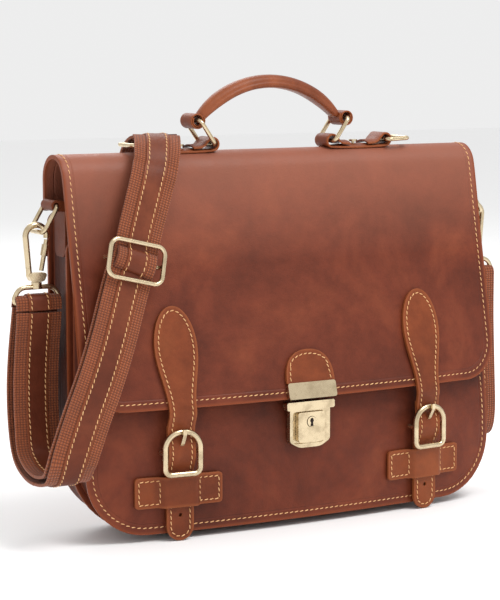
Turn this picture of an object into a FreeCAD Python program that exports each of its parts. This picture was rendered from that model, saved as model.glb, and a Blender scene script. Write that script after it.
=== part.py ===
import FreeCAD, Part
import math
import os
from FreeCAD import Vector, Placement, Rotation

# Satchel bag, millimetres. X to the right, -Y to the front, +Z up.
# The origin is the middle of the divider panel's bottom edge.

SIZES = {
    "panel_half_width": 192, "flap_half_width": 195, "panel_thickness": 3, "flap_thickness": 3.5,
    "back_y": 36, "back_height": 260, "back_corner": 87,
    "divider_height": 240, "divider_corner": 69,
    "front_y": -32, "front_foot": 5.5, "front_bend": 76, "front_top_y": -4, "front_height": 255,
    "front_corner": 50, "front_bulge": 15,
    "fold_y": 16, "fold_z": 285.5, "fold_radius": 20,
    "flap_foot": 106.5, "flap_foot_y": -39.5, "flap_corner": 33,
    "gusset_half_width": 186, "gusset_thickness": 2.5, "gusset_foot": 8, "gusset_corner": 62,
    "rear_gusset_top": 254, "front_gusset_top": 233, "rear_gusset_depth": 30.9, "gusset_gap": 0.3,
    "board_length": 230, "board_depth": 27, "board_thickness": 2.5,
    "closure_x": 116.5, "strap_width": 23, "strap_thickness": 2.6, "teardrop_width": 37,
    "keeper_width": 75, "keeper_height": 25, "keeper_z": 27.3,
    "buckle_width": 34.4, "buckle_height": 38.4, "buckle_z": 71.5, "buckle_wire": 2.3,
    "lock_width": 38, "lock_height": 32.5, "lock_depth": 5, "lock_z": 65, "lock_barrel_z": 86.5,
    "lock_plate_width": 45, "lock_plate_height": 13.5,
    "strip_inner_x": 57, "strip_outer_x": 110, "strip_thickness": 3.2, "loop_radius": 4.8, "loop_bore": 2.35,
    "loop_z": 310.7, "loop_length": 20, "ring_wire": 1.8, "ring_width": 27, "top_ring_x": 131, "rivet_x": 83,
    "grip_z": 360.6, "grip_width": 15, "grip_height": 10.5, "grip_end_x": 70.5,
    "grip_end_z": 330, "wrap_radius": 5.6, "wrap_bore": 2.7, "wrap_length": 20,
    "tab_width": 20, "tab_thickness": 3, "side_loop_x": 196.5, "side_loop_z": 266,
    "side_ring_x": 209, "side_ring_z": 245.6, "side_ring_width": 26,
    "hook_x": 210, "hook_y": 17, "hook_z": 210.4, "hook_wire": 2.4, "hook_height": 40.5,
    "gate_radius": 1.9, "gate_length": 25,
    "strap_ring_z": 190, "strap_ring_width": 42, "strap_ring_wire": 2,
    "webbing_width": 38, "webbing_thickness": 2.2, "slider_width": 48, "slider_height": 30,
}

doc = FreeCAD.newDocument("satchel")
sheet = doc.addObject("Spreadsheet::Sheet", "Sizes")
for row, (alias, value) in enumerate(SIZES.items(), 1):
    sheet.set("A%d" % row, alias)
    sheet.set("B%d" % row, str(value))
    sheet.setAlias("B%d" % row, alias)
doc.recompute()

parts = []


def size(name):
    return float(SIZES[name])


def new_body(label):
    body = doc.addObject("PartDesign::Body", label)
    body.Label = label
    parts.append(body)
    return body


def sketch(body, role, geometry, offset=None):
    """A closed or open outline on one of the body's origin planes, moved along its normal."""
    item = body.newObject("Sketcher::SketchObject", body.Label + "_sketch")
    plane = [f for f in body.Origin.OriginFeatures if f.Role == role][0]
    item.AttachmentSupport = [(plane, "")]
    item.MapMode = "FlatFace"
    item.addGeometry(geometry, False)
    if offset is not None:
        item.setExpression("AttachmentOffset.Base.z", str(offset))
    return item


def rounded(points, closed=True):
    """Lines through (x, y, corner radius) points, with an arc at every rounded corner."""
    count = len(points)
    ends = []
    arcs = {}
    for i, (x, y, r) in enumerate(points):
        here = Vector(x, y, 0)
        if r <= 0 or (not closed and i in (0, count - 1)):
            ends.append((here, here))
            continue
        back = Vector(*points[i - 1][:2], 0) - here
        ahead = Vector(*points[(i + 1) % count][:2], 0) - here
        half = back.getAngle(ahead) / 2
        back.normalize()
        ahead.normalize()
        reach = r / math.tan(half)
        axis = back + ahead
        axis.normalize()
        first, last = here + back * reach, here + ahead * reach
        middle = here + axis * (r / math.sin(half) - r)
        arcs[i] = Part.Arc(first, middle, last)
        ends.append((first, last))
    shapes = []
    for i in range(count):
        if i in arcs:
            shapes.append(arcs[i])
        if closed or i < count - 1:
            start, end = ends[i][1], ends[(i + 1) % count][0]
            if (end - start).Length > 1e-4:
                shapes.append(Part.LineSegment(start, end))
    return shapes


def polygon(points):
    return rounded([(x, y, 0) for x, y in points])


def circle(x, y, radius):
    return [Part.Circle(Vector(x, y, 0), Vector(0, 0, 1), radius)]


def pad(body, profile, length, both=False, reverse=False):
    feature = body.newObject("PartDesign::Pad", body.Label + "_pad")
    feature.Profile = profile
    feature.Midplane = both
    feature.Reversed = reverse
    feature.setExpression("Length", str(length))
    return feature


def cut(body, profile, depth=None, both=True, reverse=False):
    feature = body.newObject("PartDesign::Pocket", body.Label + "_cut")
    feature.Profile = profile
    feature.Midplane = both
    feature.Reversed = reverse
    if depth is None:
        feature.Type = "ThroughAll"
    else:
        feature.setExpression("Length", str(depth))
    return feature


def loft(body, profiles, subtract=False):
    kind = "SubtractiveLoft" if subtract else "AdditiveLoft"
    feature = body.newObject("PartDesign::" + kind, body.Label + "_loft")
    feature.Profile = profiles[0]
    feature.Sections = profiles[1:]
    return feature


def pipe(body, profile, path):
    feature = body.newObject("PartDesign::AdditivePipe", body.Label + "_pipe")
    feature.Profile = profile
    feature.Spine = (path, [])
    return feature


def place(body, position, rotation=Rotation()):
    body.Placement = Placement(position, rotation)
    return body


def frame_rotation(x_axis, y_axis):
    x_axis, y_axis = Vector(x_axis), Vector(y_axis)
    x_axis.normalize()
    y_axis.normalize()
    z_axis = x_axis.cross(y_axis)
    return Rotation(x_axis, y_axis, z_axis, "XYZ")


def trim_outline(body, outline):
    """Cut away everything outside an outline seen from the front."""
    border = polygon([(-300, -80), (300, -80), (300, 400), (-300, 400)])
    return cut(body, sketch(body, "XZ_Plane", border + rounded(outline)))


def bulge_share(x, half_width):
    return 1 - (x / half_width) ** 2


# ---------------------------------------------------------------- shell panels

def flat_panel(label, face_y, height, corner, half_width):
    body = new_body(label)
    w = half_width
    outline = [(-w, 0, corner), (w, 0, corner), (w, height, 10), (-w, height, 10)]
    pad(body, sketch(body, "XZ_Plane", rounded(outline), offset=-face_y), "Sizes.panel_thickness")
    return body


half = size("panel_half_width")
flat_panel("back_panel", size("back_y"), size("back_height"), size("back_corner"), half)
flat_panel("divider_panel", size("panel_thickness") / 2, size("divider_height"), size("divider_corner"), half)


def front_profile(x, outer_shift, inner_shift):
    """Front panel section at x: upright below, leaning back above, bulging at mid width."""
    foot, bend, top = size("front_foot") - 6, size("front_bend"), size("front_height") + 6
    low = size("front_y") - size("front_bulge") * bulge_share(x, half)
    high = size("front_top_y") - 4 * bulge_share(x, half)
    return [(low + outer_shift, foot), (low + outer_shift, bend), (high + outer_shift, top),
            (high + inner_shift, top), (low + inner_shift, bend), (low + inner_shift, foot)]


STATIONS = [-1.0, -0.5, 0.0, 0.5, 1.0]


def stacked(body, profile, reach, subtract=False):
    sections = [sketch(body, "YZ_Plane", polygon(profile(s * reach)), offset=s * reach) for s in STATIONS]
    return loft(body, sections, subtract)


front = new_body("front_panel")
stacked(front, lambda x: front_profile(x, 0, size("panel_thickness")), half)
foot = size("front_foot")
r = size("front_corner")
trim_outline(front, [(-half, foot, r), (half, foot, r),
                     (half, size("front_height"), 12), (-half, size("front_height"), 12)])


def gusset_ring(top):
    """Outline of a U-shaped strip: outer edge, then the inner edge back again."""
    t = size("gusset_thickness")
    w, low, r = size("gusset_half_width"), size("gusset_foot"), size("gusset_corner")
    return rounded([(-w, top, 0), (-w, low, r), (w, low, r), (w, top, 0), (w - t, top, 0),
                    (w - t, low + t, r - t), (-w + t, low + t, r - t), (-w + t, top, 0)])


rear = new_body("rear_gusset")
gap = size("panel_thickness") / 2 + size("gusset_gap")
pad(rear, sketch(rear, "XZ_Plane", gusset_ring(size("rear_gusset_top")), offset=-gap), "Sizes.rear_gusset_depth", reverse=True)

front_strip = new_body("front_gusset")
pad(front_strip, sketch(front_strip, "XZ_Plane", gusset_ring(size("front_gusset_top")), offset=gap), 60)


def beyond_front(x):
    inner = front_profile(x, size("panel_thickness") - size("gusset_gap") + 0.6, 0)[:3]
    return inner + [(-110, inner[2][1]), (-110, inner[0][1])]


stacked(front_strip, beyond_front, half, subtract=True)

board = new_body("bottom_board")
long, deep = size("board_length") / 2, size("board_depth") / 2
outline = rounded([(-long, 17 - deep, 5), (long, 17 - deep, 5), (long, 17 + deep, 5), (-long, 17 + deep, 5)])
pad(board, sketch(board, "XY_Plane", outline, offset="Sizes.gusset_foot + 3.2"), "Sizes.board_thickness")

# ---------------------------------------------------------------- fold and flap

fold_y, fold_z, fold_r, skin = size("fold_y"), size("fold_z"), size("fold_radius"), size("flap_thickness")
lean = math.atan2(size("flap_foot_y") - (fold_y - fold_r), fold_z - size("flap_foot"))
lean = abs(lean)


def on_fold(radius, angle):
    """Point on the fold, angle in degrees from the back (0) over the top (90) to the front."""
    a = math.radians(angle)
    return Vector(fold_y + radius * math.cos(a), fold_z + radius * math.sin(a), 0)


def fold_sector(inner, outer, start, end):
    mid = (start + end) / 2
    return [Part.Arc(on_fold(outer, start), on_fold(outer, mid), on_fold(outer, end)),
            Part.LineSegment(on_fold(outer, end), on_fold(inner, end)),
            Part.Arc(on_fold(inner, end), on_fold(inner, mid), on_fold(inner, start)),
            Part.LineSegment(on_fold(inner, start), on_fold(outer, start))]


fold_end = 180 - math.degrees(lean)
hinge = on_fold(fold_r, fold_end)
flap_w = size("flap_half_width")

fold = new_body("flap_fold")
seam = size("back_height") + 0.4
arch = fold_sector(fold_r - skin, fold_r, 0, fold_end)[:3]
skirt = [Part.LineSegment(on_fold(fold_r - skin, 0), Vector(fold_y + fold_r - skin, seam, 0)),
         Part.LineSegment(Vector(fold_y + fold_r - skin, seam, 0), Vector(fold_y + fold_r, seam, 0)),
         Part.LineSegment(Vector(fold_y + fold_r, seam, 0), on_fold(fold_r, 0))]
pad(fold, sketch(fold, "YZ_Plane", arch + skirt), "2 * Sizes.flap_half_width", both=True)


def flap_point(x, z, depth=0.0):
    """Y of the flap's outer face at (x, z); depth moves into the leather."""
    share = (hinge.y - z) / (hinge.y - size("flap_foot"))
    flat = hinge.x + (size("flap_foot_y") - hinge.x) * share
    return flat - size("front_bulge") * bulge_share(x, flap_w) * share + depth


def flap_profile(x):
    top, low = hinge.y - 0.4, size("flap_foot") - 4
    return [(flap_point(x, low), low), (flap_point(x, top), top),
            (flap_point(x, top, skin), top - 0.8), (flap_point(x, low, skin), low)]


flap = new_body("flap_front")
stacked(flap, flap_profile, flap_w)
r = size("flap_corner")
trim_outline(flap, [(-flap_w, size("flap_foot"), r), (flap_w, size("flap_foot"), r),
                    (flap_w, 330, 0), (-flap_w, 330, 0)])

# ---------------------------------------------------------------- strap closures

closure_x = size("closure_x")
panel_y = size("front_y") - size("front_bulge") * bulge_share(closure_x, half)
turn = math.degrees(math.atan(2 * size("front_bulge") * closure_x / half ** 2))
strap_half, strap_t = size("strap_width") / 2, size("strap_thickness")


def closure_placement(side):
    return Vector(side * closure_x, panel_y, 0), Rotation(Vector(0, 0, 1), side * turn)


def thick_path(points, thickness):
    """Closed outline of a bent strip of even thickness along (y, z) points."""
    left, right = [], []
    for i, point in enumerate(points):
        here = Vector(*point, 0)
        before = Vector(*points[max(i - 1, 0)], 0)
        after = Vector(*points[min(i + 1, len(points) - 1)], 0)
        along = after - before
        along.normalize()
        normal = Vector(-along.y, along.x, 0) * (thickness / 2)
        left.append(here + normal)
        right.append(here - normal)
    return polygon([(p.x, p.y) for p in left + right[::-1]])


for side, name in ((-1, "left"), (1, "right")):
    spot, spin = closure_placement(side)

    tail = new_body(name + "_strap_tail")
    z = size("buckle_z")
    path = [(-6.6, z + 21.5), (-7.2, z + 12.5), (-9.6, z + 4.5), (-9.6, z - 3.5), (-6.4, z - 12),
            (-4.4, z - 17.5), (-4.4, 0)]
    pad(tail, sketch(tail, "YZ_Plane", thick_path(path, strap_t)), "Sizes.strap_width", both=True)
    tip = [(-strap_half, 0, 11), (strap_half, 0, 11), (strap_half, 120, 0), (-strap_half, 120, 0)]
    trim_outline(tail, tip)
    slot = rounded([(-2.6, z - 1.5, 2.5), (2.6, z - 1.5, 2.5), (2.6, z + 15.5, 2.5), (-2.6, z + 15.5, 2.5)])
    cut(tail, sketch(tail, "XZ_Plane", slot + circle(0, 20.5, 2)))
    place(tail, spot, spin)

    chape = new_body(name + "_buckle_chape")
    pad(chape, sketch(chape, "YZ_Plane", thick_path([(-1.6, 8), (-1.6, z - 3)], 1.8)), 20, both=True)
    pad(chape, sketch(chape, "YZ_Plane", circle(-4.3, z, 3.5)), 20, both=True)
    cut(chape, sketch(chape, "YZ_Plane", circle(-4.3, z, 1.9)))
    notch = polygon([(-3.4, z - 7.5), (3.4, z - 7.5), (3.4, z + 6.5), (-3.4, z + 6.5)])
    cut(chape, sketch(chape, "XZ_Plane", notch))
    place(chape, spot, spin)

    buckle = new_body(name + "_buckle_frame")
    wire = size("buckle_wire")
    w, h = size("buckle_width") / 2 - wire, size("buckle_height") / 2 - wire
    ring = rounded([(-w, z - h, 5), (w, z - h, 5), (w, z + h, 13.5), (-w, z + h, 13.5)])
    path = sketch(buckle, "XZ_Plane", ring, offset=11.5)
    pipe(buckle, sketch(buckle, "YZ_Plane", circle(-11.5, z - h, size("buckle_wire"))), path)
    pad(buckle, sketch(buckle, "YZ_Plane", circle(-4.3, z, 1.5)), 2 * w, both=True)
    ears = circle(-w, z, 1.9) + circle(w, z, 1.9)
    pad(buckle, sketch(buckle, "XZ_Plane", ears, offset=2.4), 9)
    place(buckle, spot, spin)

    prong = new_body(name + "_buckle_prong")
    pad(prong, sketch(prong, "YZ_Plane", circle(-4.3, z, 3.3)), 4.6, both=True)
    pin = thick_path([(-6.4, z + 2.1), (-11, z + 8), (-15.7, z + 15.6), (-15.8, z + 19.6)], 2.2)
    pad(prong, sketch(prong, "YZ_Plane", pin), 3, both=True)
    cut(prong, sketch(prong, "YZ_Plane", circle(-4.3, z, 1.75)))
    place(prong, spot, spin)

    keeper = new_body(name + "_keeper")
    wide, low = size("keeper_width") / 2, size("keeper_z")
    bridge = polygon([(-wide, -0.6), (-18, -0.6), (-14, -6.2), (14, -6.2), (18, -0.6), (wide, -0.6),
                      (wide, -3.2), (20, -3.2), (16, -8.8), (-16, -8.8), (-20, -3.2), (-wide, -3.2)])
    pad(keeper, sketch(keeper, "XY_Plane", bridge, offset=low), "Sizes.keeper_height")
    place(keeper, spot, spin)

    flap_strap = new_body(name + "_flap_strap")
    a, b = strap_half, size("teardrop_width") / 2
    drop = rounded([(-a, 0, 0), (a, 0, 0), (a, 26, 40), (b, 60, 22), (b - 1, 74, 14), (3.5, 96, 4),
                    (-3.5, 96, 4), (-b + 1, 74, 14), (-b, 60, 22), (-a, 26, 40)])
    pad(flap_strap, sketch(flap_strap, "XZ_Plane", drop), "Sizes.strap_thickness")
    low_z = size("flap_foot") - 13
    base = Vector(side * closure_x, flap_point(closure_x, low_z) - 0.7, low_z)
    rise = Vector(0, flap_point(closure_x, low_z + 80) - flap_point(closure_x, low_z), 80)
    across = Vector(1, side * math.tan(math.radians(turn * 0.75)), 0)
    rise.normalize()
    across = across - rise * across.dot(rise)
    across.normalize()
    place(flap_strap, base, Rotation(across, rise.cross(across), rise, "ZXY"))

# ---------------------------------------------------------------- lock

lock_y = size("front_y") - size("front_bulge")
lock_low = size("lock_z")
lock_w = size("lock_width") / 2
lock_h = size("lock_height")

lock = new_body("lock_body")
outline = rounded([(-lock_w, lock_low + 5, 4), (-10, lock_low, 12), (10, lock_low, 12), (lock_w, lock_low + 5, 4),
                   (lock_w, lock_low + lock_h, 1.5), (-lock_w, lock_low + lock_h, 1.5)])
pad(lock, sketch(lock, "XZ_Plane", outline, offset=-lock_y + 0.4), "Sizes.lock_depth")
lip_w, lip_z = size("lock_plate_width") / 2, lock_low + lock_h
lip = rounded([(-lip_w, lip_z - 1, 1.5), (lip_w, lip_z - 1, 1.5), (lip_w, lip_z + 5.7, 1.5), (-lip_w, lip_z + 5.7, 1.5)])
pad(lock, sketch(lock, "XZ_Plane", lip, offset=-lock_y + 0.4), "Sizes.lock_depth + 1.6")
recess = rounded([(-16.4, 68.4, 3), (13.4, 68.4, 3), (13.4, 95, 3), (-16.4, 95, 3)])
cut(lock, sketch(lock, "XZ_Plane", recess, offset=-lock_y + 3.4), 10, both=False, reverse=True)

slider = new_body("lock_slider")
outline = rounded([(-12.5, 70, 3), (-5, 69.2, 4), (5, 69.2, 4), (12.5, 70, 3), (12.5, 94.4, 2), (-12.5, 94.4, 2)])
pad(slider, sketch(slider, "XZ_Plane", outline, offset=-lock_y + 3.8), 4)
barrel_z = size("lock_barrel_z")
cut(slider, sketch(slider, "XZ_Plane", circle(0, barrel_z, 4.6)))

barrel = new_body("lock_cylinder")
pad(barrel, sketch(barrel, "XZ_Plane", circle(0, barrel_z, 4.2), offset=-lock_y + 3.8), 4.6)
low, high = barrel_z - 3.2, barrel_z + 1.5
keyway = rounded([(-0.7, low, 0.6), (0.7, low, 0.6), (0.7, high, 0.6), (-0.7, high, 0.6)])
cut(barrel, sketch(barrel, "XZ_Plane", keyway, offset=-lock_y + 6), 8, both=False, reverse=True)
cut(barrel, sketch(barrel, "XZ_Plane", circle(0, high + 0.1, 1.5), offset=-lock_y + 6), 8, both=False, reverse=True)

lift = Vector(0, flap_point(0, 180) - flap_point(0, 100), 80)
lift.normalize()
lock_spin = Rotation(Vector(1, 0, 0), lift.cross(Vector(1, 0, 0)), lift, "ZXY")

tab = new_body("lock_tab")
w = size("lock_plate_width") / 2
outline = rounded([(-w, 0, 2), (w, 0, 2), (w, 27, 15), (-w, 27, 15)])
pad(tab, sketch(tab, "XZ_Plane", outline), "Sizes.strap_thickness")
place(tab, Vector(0, flap_point(0, 119.2) - 0.5, 119.2), lock_spin)

plate = new_body("lock_plate")
outline = rounded([(-w, 0, 2), (w, 0, 2), (w, 13.5, 2), (-w, 13.5, 2)])
pad(plate, sketch(plate, "XZ_Plane", outline), 3.4)
place(plate, Vector(0, flap_point(0, 105.6) - 0.5, 105.6), lock_spin)

# ---------------------------------------------------------------- rings, top strips and handle


def wire_ring(label, bar_a, bar_b, width, wire, corner=4):
    """Rounded ring whose two end bars run along Y through the given points."""
    body = new_body(label)
    along = bar_b - bar_a
    long = along.Length / 2
    wide = width / 2
    path = rounded([(-wide, -long, corner), (wide, -long, corner), (wide, long, corner), (-wide, long, corner)])
    start = sketch(body, "YZ_Plane", circle(-long, 0, wire))
    pipe(body, start, sketch(body, "XY_Plane", path))
    place(body, (bar_a + bar_b) * 0.5, frame_rotation(Vector(0, 1, 0), along))
    return body


loop_z, bore, loop_r = size("loop_z"), size("loop_bore"), size("loop_radius")
near, far = size("strip_inner_x"), size("strip_outer_x")
for side, name in ((-1, "left"), (1, "right")):
    strip = new_body(name + "_top_strip")
    arc = fold_sector(fold_r + 0.3, fold_r + 0.3 + size("strip_thickness"), 90 - 26, 90 + 26)
    pad(strip, sketch(strip, "YZ_Plane", arc, offset=side * (near + far) / 2), far - near, both=True)
    loops = circle(side * near, loop_z, loop_r) + circle(side * far, loop_z, loop_r)
    pad(strip, sketch(strip, "XZ_Plane", loops, offset=-fold_y), "Sizes.loop_length", both=True)
    cut(strip, sketch(strip, "XZ_Plane", circle(side * near, loop_z, bore) + circle(side * far, loop_z, bore)))
    cut(strip, sketch(strip, "XY_Plane", circle(side * size("rivet_x"), fold_y, 1.7)))

    rivet = new_body(name + "_strip_rivet")
    pad(rivet, sketch(rivet, "XY_Plane", circle(side * size("rivet_x"), fold_y, 3.6), offset=loop_z - 1.4), 1.6)
    pad(rivet, sketch(rivet, "XY_Plane", circle(side * size("rivet_x"), fold_y, 1.35), offset=loop_z - 4.8), 4)

    base = Vector(side * near, fold_y, loop_z)
    top = Vector(side * size("grip_end_x"), fold_y, size("grip_end_z"))
    wire_ring(name + "_handle_ring", base, top, size("ring_width"), size("ring_wire"))
    wire_ring(name + "_top_ring", Vector(side * far, fold_y, loop_z), Vector(side * size("top_ring_x"), fold_y, loop_z + 0.8),
              size("ring_width"), size("ring_wire"))

grip = new_body("handle_grip")
end_x, end_z, peak = size("grip_end_x"), size("grip_end_z"), size("grip_z")
big, sweep = 140.0, math.radians(20)
knee = Vector(big * math.sin(sweep), peak - big * (1 - math.cos(sweep)), 0)
inward = Vector(-math.sin(sweep), -math.cos(sweep), 0)
gap_to_end = Vector(end_x, end_z, 0) - knee
small = gap_to_end.Length ** 2 / (2 * gap_to_end.dot(inward))
centre = knee + inward * small
start_angle = math.atan2(knee.y - centre.y, knee.x - centre.x)
end_angle = math.atan2(end_z - centre.y, end_x - centre.x)
mid_angle = (start_angle + end_angle) / 2


def around(angle):
    return centre + Vector(math.cos(angle), math.sin(angle), 0) * small


quarter = Vector(big * math.sin(sweep / 2), peak - big * (1 - math.cos(sweep / 2)), 0)
spine = [Part.Arc(Vector(0, peak, 0), quarter, knee),
         Part.Arc(knee, around(mid_angle), around(end_angle + 0.12))]
gw, gh = size("grip_width") / 2, size("grip_height") / 2
section = rounded([(-gw, peak - gh, 2.4), (gw, peak - gh, 2.4), (gw, peak + gh, 5), (-gw, peak + gh, 5)])
pipe(grip, sketch(grip, "YZ_Plane", section), sketch(grip, "XZ_Plane", spine))
doc.recompute()
half_grip = grip.Tip
mirror = grip.newObject("PartDesign::Mirrored", "handle_grip_mirror")
mirror.Originals = [half_grip]
mirror.MirrorPlane = ([f for f in grip.Origin.OriginFeatures if f.Role == "YZ_Plane"][0], [""])
grip.Tip = mirror
wraps = circle(-end_x, end_z, size("wrap_radius")) + circle(end_x, end_z, size("wrap_radius"))
pad(grip, sketch(grip, "XZ_Plane", wraps), "Sizes.wrap_length", both=True)
holes = circle(-end_x, end_z, size("wrap_bore")) + circle(end_x, end_z, size("wrap_bore"))
cut(grip, sketch(grip, "XZ_Plane", holes))
place(grip, Vector(0, fold_y, 0))

# ---------------------------------------------------------------- side rings and snap hooks

hook_x, hook_y, hook_z = size("hook_x"), size("hook_y"), size("hook_z")
side_loop = Vector(size("side_loop_x"), hook_y, size("side_loop_z"))
side_low = Vector(size("side_ring_x"), hook_y, size("side_ring_z"))
wire = size("hook_wire")
for side, name in ((-1, "left"), (1, "right")):
    side_tab = new_body(name + "_side_tab")
    face = side * (size("gusset_half_width") + 0.3)
    high = side_loop.z
    outline = rounded([(hook_y - 10, high - 41, 6), (hook_y + 10, high - 41, 6), (hook_y + 10, high, 0), (hook_y - 10, high, 0)])
    pad(side_tab, sketch(side_tab, "YZ_Plane", outline, offset=face), "Sizes.tab_thickness", reverse=side < 0)
    loop = circle(side * side_loop.x, side_loop.z, 4.4)
    pad(side_tab, sketch(side_tab, "XZ_Plane", loop, offset=-hook_y), "Sizes.tab_width", both=True)
    root, tip_x = face + side * 0.5, side * side_loop.x
    web = polygon([(root, high - 5), (tip_x, high - 4.3), (tip_x, high + 4.3), (root, high + 3)])
    pad(side_tab, sketch(side_tab, "XZ_Plane", web, offset=-hook_y), "Sizes.tab_width", both=True)
    cut(side_tab, sketch(side_tab, "XZ_Plane", circle(side * side_loop.x, side_loop.z, 2.4)))

    wire_ring(name + "_side_ring", Vector(side * side_loop.x, hook_y, side_loop.z),
              Vector(side * side_low.x, hook_y, side_low.z), size("side_ring_width"), size("ring_wire"))

    hook = new_body(name + "_snap_hook")
    tall = size("hook_height")
    bend = rounded([(side * 6, 0, 0), (side * 9.4, tall, 8.6), (-side * 9, tall, 8.6), (-side * 9, tall - 10.6, 0)], False)
    pipe(hook, sketch(hook, "XY_Plane", circle(side * 6, 0, wire)), sketch(hook, "XZ_Plane", bend))
    base = rounded([(-8.6, 3, 2), (-5.5, -4, 3), (5.5, -4, 3), (8.6, 3, 2)])
    pad(hook, sketch(hook, "XZ_Plane", base), 7, both=True)
    cut(hook, sketch(hook, "XY_Plane", circle(0, 0, 1.9), offset=-4.2), 4, both=False, reverse=True)
    place(hook, Vector(side * hook_x, hook_y, hook_z))

    gate = new_body(name + "_hook_gate")
    pad(gate, sketch(gate, "XY_Plane", circle(0, 0, size("gate_radius"))), "Sizes.gate_length")
    pad(gate, sketch(gate, "XY_Plane", circle(0, 0, 2.9), offset=12), 9)
    place(gate, Vector(side * (hook_x - 4.2), hook_y, hook_z + 4.2), Rotation(Vector(0, side, 0), -11.3))

    ring = new_body(name + "_strap_ring")
    w = size("strap_ring_width") / 2
    loop = rounded([(-w, 0, 3), (w, 0, 3), (w - 6, 12, 9), (6 - w, 12, 9)])
    pipe(ring, sketch(ring, "YZ_Plane", circle(0, 0, size("strap_ring_wire"))), sketch(ring, "XZ_Plane", loop))
    pad(ring, sketch(ring, "XY_Plane", circle(0, 0, 4.2), offset=11), 5)
    pad(ring, sketch(ring, "XY_Plane", circle(0, 0, 1.5), offset=15), 4.6)
    place(ring, Vector(side * hook_x, hook_y, size("strap_ring_z")))

# ---------------------------------------------------------------- shoulder strap


def ribbon(label, stations, width, thickness):
    """Soft band through (centre, width direction) stations, lofted along its bends."""
    wires = []
    for i, (centre, across) in enumerate(stations):
        before, after = stations[max(i - 1, 0)][0], stations[min(i + 1, len(stations) - 1)][0]
        along = after - before
        along.normalize()
        across = across - along * across.dot(along)
        across.normalize()
        up = along.cross(across)
        u, v = across * (width / 2), up * (thickness / 2)
        wires.append(Part.makePolygon([centre - u - v, centre + u - v, centre + u + v, centre - u + v,
                                       centre - u - v]))
    solid = Part.makeLoft(wires, True, True)
    feature = doc.addObject("Part::Feature", label)
    feature.Label = label
    feature.Shape = solid
    parts.append(feature)
    return feature


def shifted(stations, amounts):
    """Stations moved along the band's own normal, by one amount or by one for each station."""
    moved = []
    if not isinstance(amounts, list):
        amounts = [amounts] * len(stations)
    for i, (centre, across) in enumerate(stations):
        along = stations[min(i + 1, len(stations) - 1)][0] - stations[max(i - 1, 0)][0]
        normal = along.cross(across)
        normal.normalize()
        moved.append((centre + normal * amounts[i], across))
    return moved


ACROSS = Vector(1, 0, 0)
TILT = Vector(0.97, 0, -0.25)
SLIGHT = Vector(0.99, 0, -0.1)
over_x = {118: -110.5, 140: -116, 162: -120.4}
over_top = [(Vector(over_x.get(a, -104), fold_y + 32.5 * math.cos(math.radians(a)),
                    fold_z + 32.5 * math.sin(math.radians(a))), ACROSS)
            for a in (15, 40, 65, 89.3, 90.7, 99, 118, 140, 162)]
front_run = [(Vector(-126.3, -20, 283), SLIGHT), (Vector(-141.4, -28.5, 245.8), TILT), (Vector(-149.1, -33, 223), TILT),
             (Vector(-158.4, -37.2, 200.5), TILT), (Vector(-172.2, -43.5, 164.5), TILT),
             (Vector(-185.2, -48.5, 135), TILT), (Vector(-199.6, -53, 105.7), TILT), (Vector(-211, -55.5, 79), SLIGHT),
             (Vector(-214, -53, 67), ACROSS)]
left_bend = [(Vector(-214, -44, 57), ACROSS), (Vector(-214, -24, 53.5), ACROSS), (Vector(-214, -4, 56), ACROSS),
             (Vector(-214, 14, 66), ACROSS), (Vector(-213, 25, 86), ACROSS), (Vector(-212, 30, 118), ACROSS),
             (Vector(-211, 28, 150), ACROSS), (Vector(-210, 21.5, 184), ACROSS)]
back_run = [(Vector(-100, 46, 276), Vector(0.9, 0, 0.4)), (Vector(-50, 45, 228), Vector(0.7, 0, 0.7)),
            (Vector(30, 45, 161), Vector(0.65, 0, 0.75)), (Vector(120, 47, 101), Vector(0.65, 0, 0.75)),
            (Vector(180, 52, 66), Vector(0.85, 0, 0.5)), (Vector(206, 53, 54), Vector(0.97, 0, 0.2)),
            (Vector(213, 44, 46), ACROSS), (Vector(214, 30, 42), ACROSS), (Vector(214, 18, 47), ACROSS),
            (Vector(213, 12, 66), ACROSS), (Vector(211, 11, 105), ACROSS), (Vector(210, 12, 150), ACROSS),
            (Vector(210, 12.4, 184), ACROSS)]
web_w, web_t = size("webbing_width"), size("webbing_thickness")
front_band = over_top[4:] + front_run + left_bend
back_band = over_top[3::-1] + back_run
ribbon("strap_front", front_band, web_w, web_t)
ribbon("strap_back", back_band, web_w, web_t)
ribbon("strap_front_stripe", shifted(front_band, web_t / 2 + 0.7), web_w * 0.45, 0.8)
ribbon("strap_back_stripe", shifted(back_band, -web_t / 2 - 0.7), web_w * 0.45, 0.8)
inner_band = (front_run + left_bend)[2:]
inner_gaps = [-6.2] * 9 + [-7.5, -10, -13, -13.5, -12, -9.2]
ribbon("strap_inner_layer", shifted(inner_band, inner_gaps), web_w, web_t)

for side, name in ((-1, "left"), (1, "right")):
    loop = new_body(name + "_strap_loop")
    z = size("strap_ring_z")
    pad(loop, sketch(loop, "YZ_Plane", circle(0, 0, 4.9)), 31, both=True)
    cut(loop, sketch(loop, "YZ_Plane", circle(0, 0, 2.6)))
    place(loop, Vector(side * hook_x, hook_y, z))

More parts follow.
